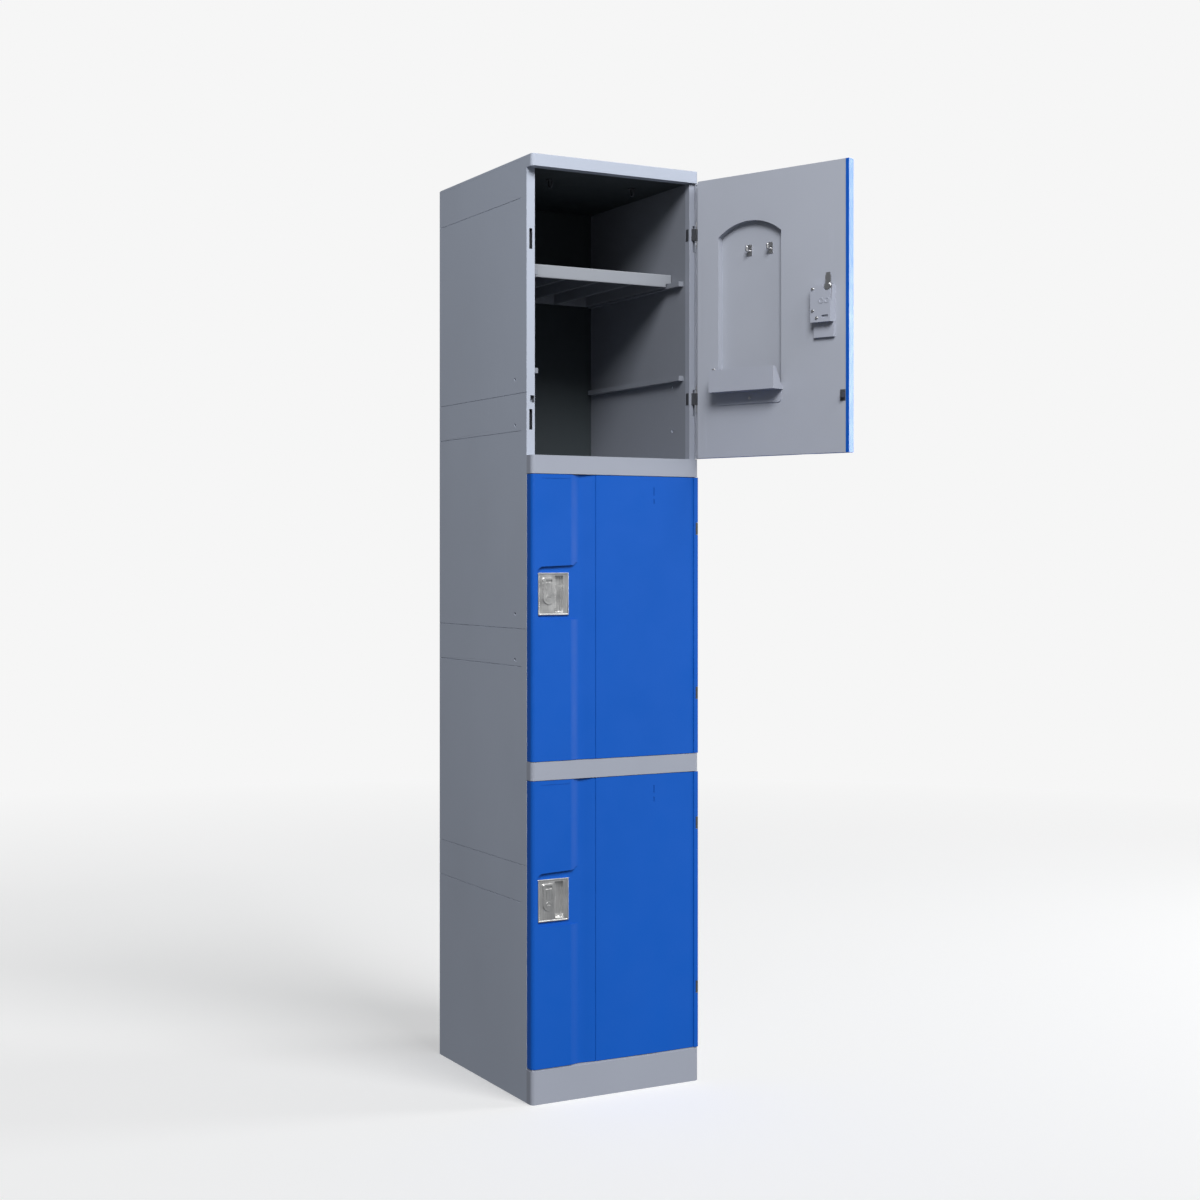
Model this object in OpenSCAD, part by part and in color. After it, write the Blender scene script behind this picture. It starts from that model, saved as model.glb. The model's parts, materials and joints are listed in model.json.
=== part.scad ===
// Locker cabinet: one column of three stacked compartments, each with its own
// hinged door, turn lock, pocket tray, loose shelf and coat hooks.
// Millimetres. X across the width (right is +), Y towards the back, Z up.
// Origin: on the floor, centre of the width, centre of the depth. Front faces -Y.

/* [Overall] */
// Overall width
body_w = 380; // [316:1:520]
// Overall depth, door fronts included
body_d = 440; // [366:1:560]
// Overall height
body_h = 1850; // [1540:1:2220]
// Opening angle of the top door as modelled
top_door_angle = 111.5; // [0:0.5:165]

/* [Carcass] */
// Side panel thickness
side_t = 18; // [14:1:24]
// Moulded wall thickness of the hollow panels
wall = 2.6; // [2:0.1:4]
// Plinth height
plinth_h = 68; // [50:1:100]
// Height of the bars between compartments
bar_h = 36; // [28:1:48]
// Height of the front of the top cover
cover_h = 24; // [20:1:36]
// Thickness of the flat plate of the top cover
cover_plate = 6; // [4:0.5:8]
// Back panel thickness
back_t = 14; // [10:1:20]
// Rounding of the front corners
corner_r = 8; // [4:0.5:9]

/* [Shelf] */
// Shelf thickness
shelf_t = 26; // [20:1:34]
// Height of a shelf rail above the compartment floor
rail_high = 360; // [300:1:380]
// Height of the lower, spare rail
rail_low = 167; // [120:1:240]
// Setback of the shelf from the front plane
shelf_set = 76; // [60:1:110]

/* [Door] */
// Door thickness
door_t = 22; // [20:0.1:28]
// Moulded sheet thickness of the door
sheet = 2.5; // [2:0.1:3]
// Gap between a door and its opening
door_gap = 1; // [0.6:0.1:2]
// Width of the niche in the door liner
niche_w = 152; // [120:1:170]
// Height of the niche as a share of the door height
niche_share = 0.602; // [0.5:0.001:0.63]
// Width of the pocket tray
tray_w = 156; // [130:1:180]
// Depth of the pocket tray
tray_d = 33; // [26:1:50]

/* [Lock] */
// Lock plate width
plate_w = 67; // [60:1:74]
// Lock plate height
plate_h = 83; // [76:0.1:100]
// Height of the lock plate centre above the door centre
plate_up = 46; // [30:1:60]
// Length of each arm of the turning lock bar
cam_l = 26; // [25:0.5:27]

/* [Hinge] */
// Hinge pin radius
pin_r = 1.6; // [1.4:0.1:1.8]
// Hinge knuckle radius
knuckle_r = 3.2; // [3:0.1:3.6]
// Height of a fixed hinge knuckle
lug_h = 24; // [16:1:36]
// Running clearance of the pin in the door
pin_fit = 0.05; // [0.03:0.01:0.09]

/* [Hidden] */
$fn = 64;
e = 0.01;
xo = body_w / 2;                 // outer face of the side panels
xi = xo - side_t;                // inner face of the side panels
yf = -body_d / 2;                // front plane
yb = body_d / 2;                 // back plane
ys = yf + door_t;                // front edge of the side panels
yp = yb - back_t;                // inner face of the back panels
top_z = body_h - cover_plate;    // top of the side panels
open_h = (body_h - plinth_h - cover_h - 2 * bar_h) / 3;
pitch = open_h + bar_h;
mod_h = body_h / 4;
floor_t = 12;
function oz(k) = plinth_h + k * pitch;          // floor of compartment k, 0 is the lowest
function oc(k) = oz(k) + open_h / 2;            // centre of compartment k
// doors
dx = -xo + 0.5;                  // free edge of a door
dh = open_h - 2 * door_gap;      // door height
px = xo - knuckle_r;             // hinge pin axis
py = yf + knuckle_r;
post_x = xo - 4;                 // right face of the hinge post
post_y = yf + 6.5;               // front face of the hinge post
lug_up = open_h / 2 - 105;       // upper hinge centre above the door centre
lug_dn = -open_h / 2 + 123;      // lower hinge centre
liner_x = xi - 2;                // hinge side of the door pan
liner_y = ys - 0.8;              // back face of the door
relief = 6;                      // depth of the hollow beside the lock
lip = 7.5;                       // blue lip along the free edge of the inner face
rim_d = 2.2;                     // depth of the rim line beside the hinge
u1 = dx + 84; u2 = dx + 108; u3 = dx + 141;
panel_y = yf + 1.5;              // face of the main door panel
rim_x = xo - 12;                 // rim line beside the hinge
sx = dx + 38;                    // lock spindle
sz = 38;
cam_y = liner_y + 12.5;          // front face of the lock bar
plate_x = dx + 15;
plate_y = yf + relief - 0.1;     // back of the lock plate
plate_t = 2;
niche_x = dx + 232;              // centre line of the niche
niche_d = 13;
tray_x = niche_x - 2;
tray_z = -152;
tray_h = 44;
tray_foot = 24;                  // height of the screwed foot plate under a tray
niche_z0 = tray_z + 2;
niche_h = niche_share * dh;
hook_z = niche_z0 + niche_h - 57;
hook_y = yf + 111;
hook_x = 95;

c_body = [0.50, 0.52, 0.57];
c_light = [0.66, 0.67, 0.72];
c_blue = [0.10, 0.33, 0.75];
c_steel = [0.70, 0.70, 0.71];
c_dark = [0.16, 0.17, 0.19];

// a box given by two opposite corners
module box(a, b) translate(a) cube([b[0] - a[0], b[1] - a[1], b[2] - a[2]]);
module rect(a, b) translate(a) square([b[0] - a[0], b[1] - a[1]]);
// a round bar that starts at a point and runs back along Y
module rod(at, r, h) translate(at) rotate([-90, 0, 0]) cylinder(r = r, h = h);

// ---------------------------------------------------------------- carcass

function mz0(m) = m * mod_h;
function mz1(m) = m == 3 ? top_z : (m + 1) * mod_h;
cells = 7;
cell_y0 = ys + 24;
cell_step = (yb - 8 - cell_y0) / cells;

// one module of a side, s is -1 on the left and 1 on the right
module side_module(m, s) {
  z0 = mz0(m); z1 = mz1(m);
  xm = s > 0 ? xi : -xo;
  x_out = s > 0 ? xo : -xo;
  difference() {
    union() {
      box([xm, ys, z0], [xm + side_t, yb, z1]);
      for (k = [0:2]) for (h = [rail_low, rail_high])
        rail(s, max(oz(k) + h - 5, z0), min(oz(k) + h + 5, z1));
    }
    // hollow cells, open underneath
    for (c = [0:cells - 1])
      box([xm + wall, cell_y0 + c * cell_step + wall / 2, z0 - 1],
          [xm + side_t - wall, cell_y0 + (c + 1) * cell_step - wall / 2, z1 - 3]);
    // shallow moulded line under the top of the module
    face_cut(x_out, moulded_line, [ys + 24, z1 - 75.5], [yb - 4, z1 - 74]);
    // joint line at the top of the module
    if (m < 3) face_cut(x_out, joint_line, [ys - 1, z1 - 1], [yb + 1, z1 + 1]);
    // bolt holes for joining cabinets side by side
    for (z = gang_z) gang_cut(s, z, z0, z1);
    for (k = [0:2]) {
      if (s < 0) {
        // slots in the front edge
        for (h = [lug_up - 34, lug_dn - 53])
          box([xm + 6, ys - 1, oc(k) + h - 20], [xm + 12.5, ys + 10, oc(k) + h + 20]);
        // pocket that takes the lock bar
        box([-xi - 10, cam_y - 3, oc(k) + sz - 18], [-xi + 1, cam_y + 6.5, oc(k) + sz + 18]);
        // slot that takes the tongue of the door catch
        box([dx + 7.5, ys - 1, oc(k) - 178], [dx + 16.5, ys + 11, oc(k) - 164]);
      }
    }
    // screw holes in the back edge
    for (k = [0:2]) for (h = screw_h) frame_screw_cut(s, oz(k) + h);
  }
  // tubes around the bolt holes, fused to both skins
  for (z = gang_z) if (z > z0 && z < z1)
    translate([xm + wall - e, gang_y, z]) rotate([0, 90, 0]) difference() {
      cylinder(r = gang_r + wall + 0.7, h = side_t - 2 * wall + 2 * e);
      translate([0, 0, -1]) cylinder(r = gang_r, h = side_t);
    }
}
moulded_line = 0.6;              // depth of the shallow line on a side
joint_line = 0.8;                // depth of the line where two modules meet
// a groove in an outer side face, between two (y, z) corners
module face_cut(x, depth, a, b) {
  x0 = x > 0 ? x - depth : x - 1;
  x1 = x > 0 ? x + 1 : x + depth;
  box([x0, a[0], a[1]], [x1, b[0], b[1]]);
}
// countersunk hole for a screw through a side into a back panel
module frame_screw_cut(s, z) translate([s * (xo - side_t / 2), yb - 13, z]) rotate([-90, 0, 0]) {
  cylinder(r = 2, h = 20);
  translate([0, 0, 10.6]) cylinder(r1 = 2, r2 = 4.2, h = 2.2);
  translate([0, 0, 12.8]) cylinder(r = 4.2, h = 3);
}
gang_y = cell_y0 + cell_step / 2;
gang_r = 3.2;                    // bolt holes that join cabinets side by side
gang_z = [2 * mod_h - 62, 2 * mod_h + 28, 3 * mod_h - 62, 3 * mod_h + 28];
module gang_cut(s, z, z0, z1) if (z > z0 && z < z1)
  translate([s > 0 ? xi - 1 : -xo - 1, gang_y, z]) rotate([0, 90, 0]) cylinder(r = gang_r, h = side_t + 2);
// a ledge that carries a shelf, between two heights
module rail(s, za, zb) if (zb > za + 0.5) {
  x0 = s > 0 ? xi - 11 : -xi - e;
  box([x0, ys + 8, za], [x0 + 11 + e, yp - 6, zb]);
}
screw_h = [40, open_h / 2, open_h - 40];

module back_panel(k) {
  z0 = k == 0 ? plinth_h - floor_t : oz(k) - bar_h / 2;
  z1 = k == 2 ? top_z : oz(k + 1) - bar_h / 2;
  n = 5;
  st = (z1 - z0 - 12) / n;
  difference() {
    box([-xi, yp, z0], [xi, yb, z1]);
    for (i = [0:n - 1]) for (j = [0:3])
      box([-xi + 16 + j * (2 * xi - 32) / 4 + 2, yp + wall, z0 + 6 + i * st + 2],
          [-xi + 16 + (j + 1) * (2 * xi - 32) / 4 - 2, yb + 1, z0 + 6 + (i + 1) * st - 2]);
  }
}

// plan outline of a front bar, both front corners rounded
module bar2d(y1) {
  rect([-xo + corner_r, yf], [xo - corner_r, y1]);
  rect([-xo, yf + corner_r], [xo, y1]);
  for (s = [-1, 1]) translate([s * (xo - corner_r), yf + corner_r]) circle(r = corner_r);
}

// bar plus the hollow floor behind it, open at the rear end
module deck(z0, z1, over = 0) {
  difference() {
    union() {
      translate([0, 0, z0]) linear_extrude(z1 + over - z0) bar2d(ys);
      box([-xi, ys - e, z0], [xi, yp, z1 + over]);
    }
    box([-xi + 3, ys + 3, z0 + 3], [-2, yp + 1, z1 - 3]);
    box([2, ys + 3, z0 + 3], [xi - 3, yp + 1, z1 - 3]);
  }
}
module divider(k) deck(oz(k) - bar_h, oz(k));
module hook_holes(z) for (s = [-1, 1]) translate([s * hook_x, hook_y, z - 1]) cylinder(r = 2.5, h = 5);

module base_body() {
  difference() {
    union() {
      linear_extrude(plinth_h - 3) bar2d(ys);
      // set-back lip along the top edge
      translate([0, 0, plinth_h - 3 - e]) linear_extrude(3 + e) intersection() {
        bar2d(ys);
        rect([-xo + 1.5, yf + 2], [xo - 1.5, ys]);
      }
      box([-xi, ys - e, 0], [xi, ys + 30, plinth_h - floor_t]);
      box([-xi, yp - 30, 0], [xi, yp, plinth_h - floor_t]);
      for (x = [-xi, xi - 24]) box([x, ys, 0], [x + 24, yp, plinth_h - floor_t]);
    }
    // moulded hollow, open underneath
    box([-xi + 4, yf + 4, -1], [xi - 4, ys + 26, plinth_h - floor_t - 4]);
    box([-xi + 4, yp - 26, -1], [xi - 4, yp - 4, plinth_h - floor_t - 4]);
    for (x = [-xi + 4, xi - 20]) box([x, ys + 34, -1], [x + 16, yp - 34, plinth_h - floor_t - 4]);
  }
}
module floor_body() {
  n = 4; w = (2 * xi - 12) / n; d = (yp - ys - 12) / n;
  difference() {
    box([-xi, ys, plinth_h - floor_t], [xi, yp, plinth_h]);
    for (i = [0:n - 1]) for (j = [0:n - 1])
      box([-xi + 6 + i * w + 2, ys + 6 + j * d + 2, plinth_h - floor_t - 1],
          [-xi + 6 + (i + 1) * w - 2, ys + 6 + (j + 1) * d - 2, plinth_h - 3]);
  }
}
module cover_body() {
  deck(body_h - cover_h, top_z, 0.2);
  translate([0, 0, top_z]) linear_extrude(cover_plate - 1.5) bar2d(yb);
  translate([0, 0, top_z + cover_plate - 1.5 - e]) linear_extrude(1.5 + e) intersection() {
    bar2d(yb);
    rect([-xo + 1.2, yf + 1.2], [xo - 1.2, yb - 1.2]);
  }
}

// shelf standing on the upper pair of rails
module shelf(k) {
  zb = oz(k) + rail_high - 2;
  y0 = yf + shelf_set; y1 = yp - 2;
  x1 = xi - 1;
  n = 4; w = (2 * x1 - 30) / n;
  difference() {
    box([-x1, y0, zb], [x1, y1, zb + shelf_t]);
    // rebates over the rails, then the moulded hollows
    for (x = [-x1 - 1, x1 - 13]) box([x, y0 - 1, zb - 1], [x + 14, y1 + 1, zb + 7]);
    for (i = [0:n - 1])
      box([-x1 + 15 + i * w + 1.3, y0 + 3, zb - 1],
          [-x1 + 15 + (i + 1) * w - 1.3, y1 - 3, zb + shelf_t - 3]);
  }
}

// ---------------------------------------------------------------- hinges

module hinge_post(k) {
  z0 = oz(k) + 0.3; z1 = oz(k) + open_h - 0.3;
  difference() {
    translate([0, 0, z0]) linear_extrude(z1 - z0) difference() {
      rect([xi, post_y], [post_x, ys]);
      translate([px, py]) circle(r = knuckle_r + 0.8);
    }
    for (h = [lug_up, lug_dn]) {
      // seat of the hinge lug
      box([xi - 1, post_y + 3, oc(k) + h - lug_h / 2], [xi + 8, ys - 3, oc(k) + h + lug_h / 2]);
      box([xi + 5, post_y - 1, oc(k) + h - lug_h / 2], [xi + 8, post_y + 5, oc(k) + h + lug_h / 2]);
      // open slot beside the lug
      box([xi + 8.5, post_y - 1, oc(k) + h - 35], [post_x - 1, post_y + 8, oc(k) + h + 19]);
    }
  }
}
module lug_body(k, h) {
  z0 = oc(k) + h - lug_h / 2;
  difference() {
    union() {
      box([xi - 0.8, post_y + 3, z0], [xi + 8, ys - 3, z0 + lug_h]);
      box([xi + 5, post_y - 1.6, z0], [xi + 8, post_y + 5, z0 + lug_h]);
      box([xi + 5, post_y - 1.6 - 1.2, z0], [px, post_y - 1.2, z0 + lug_h]);
      translate([px, py, z0]) cylinder(r = knuckle_r, h = lug_h);
    }
    translate([px, py, z0 - 1]) cylinder(r = pin_r, h = lug_h + 2);
  }
}
pin_l = lug_h + 28;
module pin_body(k, h) translate([px, py, oc(k) + h - pin_l / 2]) cylinder(r = pin_r, h = pin_l);

// coat hook hanging from the ceiling of a compartment
hook_rod = 1.9;
hook_bend = 6;
module coat_hook(x, k) {
  z = oz(k) + open_h;
  translate([x, hook_y, z]) {
    translate([0, 0, -2]) cylinder(r = 7, h = 2);
    translate([0, 0, -11]) cylinder(r = hook_rod, h = 11);
    translate([0, -hook_bend, -11]) rotate([0, 90, 0]) rotate([0, 0, -90])
      rotate_extrude(angle = 180) translate([hook_bend, 0]) circle(r = hook_rod);
    translate([0, -2 * hook_bend, -11]) cylinder(r = hook_rod, h = 4);
    translate([0, -2 * hook_bend, -7]) sphere(r = hook_rod);
  }
}

// countersunk cross-head screw in the back edge of a side
module screw_back(s, z) translate([s * (xo - side_t / 2), yb - 13, z]) rotate([-90, 0, 0]) difference() {
  union() {
    cylinder(r = 2, h = 10.7);
    translate([0, 0, 10.6]) cylinder(r1 = 2, r2 = 4.2, h = 2.2);
  }
  translate([-3, -0.5, 12]) cube([6, 1, 2]);
  translate([-0.5, -3, 12]) cube([1, 6, 2]);
}

// ---------------------------------------------------------------- door

// stands a piece of door k at its angle; drawn closed, z measured from the door centre
module at_door(k) {
  a = k == 2 ? top_door_angle : 0;
  translate([px, py, oc(k)]) rotate([0, 0, a]) translate([-px, -py, 0]) children();
}

// plan of the outer face of the door: free edge rounded, shaped front
module door_outer2d() {
  difference() {
    union() {
      rect([dx + corner_r, yf], [px, yf + door_t - 0.8]);
      rect([dx, yf + corner_r], [dx + corner_r + 1, yf + door_t - 0.8]);
      translate([dx + corner_r, yf + corner_r]) circle(r = corner_r);
      translate([px, py]) circle(r = knuckle_r);
    }
    polygon(concat(
      [[u1, yf - 1]],
      face_curve(0, 0),
      [[u3, yf + edge_line], [u3 + 1.6, yf + edge_line]],
      crown_curve(0),
      [[rim_x, yf + rim_d], [rim_x + 1.2, yf + rim_d]],
      [[rim_x + 1.2, yf + 0.2], [rim_x + 2, yf], [rim_x + 2, yf - 1]]));
  }
}
// depth of the shaped front at a place across the door: a hollow beside the lock, then a crowned panel
function hollow_in(t) = relief * (0.35 * sin(90 * t) + 0.65 * (1 - cos(180 * t)) / 2);
function hollow_out(t) = 2.4 + (relief - 2.4) * (0.5 + 0.5 * cos(180 * t));
function face_curve(o, g) = concat(
  [for (i = [0:12]) [u1 + (u2 - u1) * i / 12 - g, yf + hollow_in(i / 12) + o]],
  [for (i = [1:12]) [u2 + (u3 - u2) * i / 12 + g * i / 12, yf + hollow_out(i / 12) + o]]);
edge_line = 3.2;                 // depth of the line where the hollow meets the crowned panel
crown = 1.3;
function crown_x(i) = u3 + 1.6 + (rim_x - u3 - 1.6) * i / 16;
function crown_curve(o) = [for (i = [0:16]) [crown_x(i), panel_y + 0.3 - crown * sin(180 * i / 16) + o]];
// plan of the space inside the outer shell, one sheet thickness behind its face
module door_inner2d() {
  polygon(concat(
    [[dx + sheet, yf + door_t + 1], [dx + sheet, yf + corner_r]],
    [[dx + sheet + 5, yf + sheet], [u1 - 1.2, yf + sheet]],
    [for (p = face_curve(sheet, 1)) if (p[0] > u1 - 1 && p[0] < u3 - 3) p],
    [[u3 - 3, yf + edge_line + sheet], [u3 + 5, yf + edge_line + sheet]],
    [[u3 + 12, panel_y - 0.1 + sheet]],
    [for (p = crown_curve(sheet)) if (p[0] > u3 + 13 && p[0] < rim_x - 8) p],
    [[rim_x - 6, yf + rim_d + sheet - 0.3], [rim_x + 3, yf + rim_d + sheet - 0.3]],
    [[rim_x + 3, yf + 1 + sheet], [px - knuckle_r, yf + sheet]],
    [[px - knuckle_r, py], [px, py], [px, yf + door_t + 1]]));
}
module door_skin(k) at_door(k) difference() {
  union() {
    difference() {
      translate([0, 0, -dh / 2]) linear_extrude(dh) door_outer2d();
      translate([0, 0, -dh / 2 + sheet]) linear_extrude(dh - 2 * sheet) door_inner2d();
      // the space taken by the hinge post
      difference() {
        box([liner_x, yf + sheet + 0.5, -dh], [xo + 5, ys + 5, dh]);
        translate([px, py, -dh]) cylinder(r = knuckle_r, h = 2 * dh);
      }
    }
    // sheet behind the lock recess
    intersection() {
      translate([0, 0, plate_up - plate_h / 2 - 13]) linear_extrude(plate_h + 38) door_outer2d();
      box([plate_x - 6, yf + 3, -dh / 2], [u2, plate_y + sheet, dh / 2]);
    }
    // lip that turns in along the free edge
    box([dx, liner_y - sheet, -dh / 2], [dx + lip, liner_y, dh / 2]);
  }
  // seat of the inner pan, which covers the other three edges
  box([dx + lip, liner_y - sheet - 0.2, -dh], [xo + 5, ys + 5, dh]);
  // lock recess
  recess_cut();
  // hole for the finger pull and the lock spindle
  pull_box(2, pull_h / 2 + 1.5, plate_y - 2, plate_y + 6);
  rod([sx, plate_y - 2, sz], 5, 8);
  // notches for the fixed knuckles
  for (h = [lug_up, lug_dn]) {
    box([px - knuckle_r - 0.5, yf - 1, h - lug_h / 2 - 0.5], [xo + 2, ys + 2, h + lug_h / 2 + 0.5]);
    translate([px, py, h - pin_l / 2 - 1]) cylinder(r = pin_r + pin_fit, h = pin_l + 2);
  }
  // two short blind marks near the top
  box([dx + 274, yf - 1, dh / 2 - 38], [dx + 275.5, panel_y + 0.8, dh / 2 - 22]);
  box([dx + 274, yf - 1, dh / 2 - 55], [dx + 275.5, panel_y + 0.8, dh / 2 - 45]);
  // line along the top edge
  box([dx + 20, yf - 1, dh / 2 - 9], [rim_x, yf + 0.6, dh / 2 - 8]);
}
pull_x = dx + 62;                // finger pull
pull_w = 17;
pull_h = 71;
// a box round the finger pull, wider by w each way and up to half_h from its centre
module pull_box(w, half_h, y0, y1)
  box([pull_x - pull_w / 2 - w, y0, plate_up - half_h], [pull_x + pull_w / 2 + w, y1, plate_up + half_h]);
rc = 11;
// recess round the lock plate; its floor runs out into the hollow, and its top edge rises towards it
module recess_cut() {
  z0 = plate_up - plate_h / 2 - 9; z1 = plate_up + plate_h / 2 + 12;
  x0 = plate_x - 2; x1 = u2 + 1;
  translate([0, plate_y, 0]) rotate([90, 0, 0]) linear_extrude(20) {
    polygon([[x0 + rc, z0], [x1, z0], [x1, z1 + 9], [u1 + 15, z1 + 8], [u1 + 8, z1 + 3], [x0 + rc, z1]]);
    rect([x0, z0 + rc], [x0 + rc + 1, z1 - rc]);
    translate([x0 + rc, z0 + rc]) circle(r = rc);
    translate([x0 + rc, z1 - rc]) circle(r = rc);
  }
}

// outline of the niche: straight sides under a shallow arch
niche_arch_r = (niche_w * niche_w / 4 + 27 * 27) / (2 * 27);
module niche2d(g) intersection() {
  rect([niche_x - niche_w / 2 + g, niche_z0 + g], [niche_x + niche_w / 2 - g, niche_z0 + niche_h]);
  union() {
    translate([niche_x, niche_z0 + niche_h - niche_arch_r]) circle(r = niche_arch_r - g, $fn = 160);
    rect([niche_x - niche_w / 2 + g, niche_z0 + g], [niche_x + niche_w / 2 - g, niche_z0 + niche_h - 60]);
  }
}
module door_liner(k) at_door(k) {
  zl = dh / 2 - sheet - 0.2;
  xl = dx + lip + 0.2;
  yw = yf + rim_d + sheet + 0.1;
  difference() {
    union() {
      box([xl, liner_y - sheet, -dh / 2], [liner_x, liner_y, dh / 2]);
      // hinge side wall and edge walls of the pan
      box([liner_x - sheet, yw, -zl], [liner_x, liner_y, zl]);
      for (z = [-zl, zl - sheet]) box([u3 + 20, yw, z], [liner_x, liner_y, z + sheet]);
      box([xl, yf + corner_r + 2, -zl], [xl + sheet, liner_y, zl]);
      // thin flange that covers the hinge edge of the outer shell
      difference() {
        box([liner_x, yf + sheet + 0.8, -dh / 2], [px - knuckle_r - 0.3, yf + sheet + 2, dh / 2]);
        for (h = [lug_up, lug_dn])
          box([xi + 3, yf, h - lug_h / 2 - 1], [xo, ys, h + lug_h / 2 + 1]);
      }
      box([liner_x - e, yf + sheet + 0.8, -zl], [liner_x + 1.2, yw + 2, zl]);
      // walls and floor of the niche
      translate([0, liner_y, 0]) rotate([90, 0, 0]) linear_extrude(niche_d + 2) niche2d(-2);
    }
    translate([0, liner_y + 1, 0]) rotate([90, 0, 0]) linear_extrude(niche_d + 1) niche2d(0);
    // holes for the lock spindle and the screws
    rod([sx, ys - 12, sz], 6, 20);
    for (p = concat(housing_screws, tray_screws)) rod([p[0], liner_y - 12, p[1]], screw_r, 20);
  }
}
screw_r = 1.5;                   // small screws of the door fittings
housing_screws = [[dx + 62, -22], [dx + 71, 34], [dx + 71, -8]];
tray_screws = [[tray_x, tray_z - 13], [tray_x + tray_w / 2 + 10, tray_z + tray_h + 4]];

rim_w = 2.5;                     // raised rim of the lock plate
spindle_r = 4;
module lock_plate(k) at_door(k) {
  z0 = plate_up - plate_h / 2; z1 = plate_up + plate_h / 2;
  difference() {
    union() {
      box([plate_x, plate_y - plate_t - 1.6, z0], [plate_x + plate_w, plate_y, z1]);
      pull_box(1.5, pull_h / 2 + 1, plate_y - e, plate_y + 10);
    }
    // raised rim around a flat field
    box([plate_x + rim_w, plate_y - 10, z0 + rim_w],
        [plate_x + plate_w - rim_w, plate_y - plate_t, z1 - rim_w]);
    // finger pull
    pull_box(0, pull_h / 2, plate_y - 10, plate_y + 8.8);
    rod([sx, plate_y - 10, sz], spindle_r + 0.1, 20);
  }
}

// swivel lever on the outside with the spindle that reaches the lock bar
lever_l = 40;
lever_r = 12;
lever_t = 2.6;
module lock_lever(k) at_door(k) {
  y0 = yf + 0.5; y1 = plate_y - plate_t - 0.4;
  difference() {
    union() {
      translate([sx, y1, sz]) rotate([90, 0, 0]) cylinder(r = lever_r, h = lever_t);
      box([sx - lever_r, y1 - lever_t, sz], [sx + lever_r, y1, sz + lever_l - 4]);
      box([sx - lever_r + 4, y1 - lever_t, sz + lever_l - 5], [sx + lever_r - 4, y1, sz + lever_l]);
      for (s = [-1, 1]) rod([sx + s * (lever_r - 4), y1 - lever_t, sz + lever_l - 4], 4, lever_t);
      // raised hub
      translate([sx, y1, sz]) rotate([90, 0, 0]) cylinder(r = 6.5, h = y1 - y0);
      rod([sx, y1 - e, sz], spindle_r, cam_y + 3 - y1);
    }
    // padlock slot, thumb groove and slot of the hub
    box([sx - 7, y1 - 8, sz + lever_l - 10], [sx + 7, y1 + 1, sz + lever_l - 4]);
    for (x = [sx - 6, sx + 6])
      box([x - 1, y1 - 8, sz + 9], [x + 1, y1 - lever_t + 1, sz + lever_l - 14]);
    box([sx - 4, y0 - 1, sz - 0.9], [sx + 4, y0 + 1, sz + 0.9]);
  }
}
// two-armed bar on the inner end of the spindle
bar_t = 2.5;
module lock_bar(k) at_door(k) difference() {
  union() {
    // wide middle, narrower tips, a round boss and a nut
    box([sx - 6, cam_y, sz - cam_l + 5], [sx + 6, cam_y + bar_t, sz + cam_l - 5]);
    box([sx - 4.5, cam_y, sz - cam_l], [sx + 4.5, cam_y + bar_t, sz + cam_l]);
    rod([sx, cam_y, sz], 8, bar_t);
    rod([sx, cam_y + bar_t - 0.1, sz], 7, 3.2, $fn = 6);
  }
  rod([sx, cam_y - 1, sz], spindle_r, 4);
}
hx0 = dx + 31; hx1 = dx + 76.5;
hz0 = -30; hz1 = 42;
face_y = cam_y + 5.6;            // front face of the housing
module lock_housing(k) at_door(k) difference() {
  union() {
    difference() {
      box([hx0, liner_y, hz0], [hx1, face_y, hz1]);
      // hollow inside, open towards the door
      box([hx0 + 2.2, liner_y - 1, hz0 + 2.5], [hx1 - 2.5, cam_y - 3.2, hz1 - 2.5]);
      // room in which the bar turns, open above and towards the free edge
      box([hx0 - 1, cam_y - 0.7, sz - cam_l - 2], [sx + cam_l + 2, cam_y + 3.3, hz1 + 1]);
      rod([sx, cam_y, sz], 8.6, 8);
      box([sx - 8.6, cam_y, sz], [sx + 8.6, face_y + 1, hz1 + 1]);
    }
    // two raised rings below the spindle
    for (x = [11, 24]) translate([hx0 + x - 3, face_y - e, 11]) rotate([-90, 0, 0]) difference() {
      cylinder(r = 5.6, h = 0.8);
      translate([0, 0, -1]) cylinder(r = 3.4, h = 3);
    }
    // thin lower cover
    box([hx0, liner_y, -58], [hx1, liner_y + 6, hz0 + e]);
  }
  box([hx0 + 2, liner_y - 1, -56], [hx1 - 2, liner_y + 4, hz0 - 2]);
  rod([sx, liner_y - 1, sz], spindle_r + 0.1, cam_y - liner_y + 1);
  for (p = housing_screws) rod([p[0], liner_y - 1, p[1]], screw_r, 30);
  // key slot
  box([hx0 + 5, face_y - 3, hz0 + 7], [hx0 + 20, face_y + 1, hz0 + 13]);
}
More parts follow.
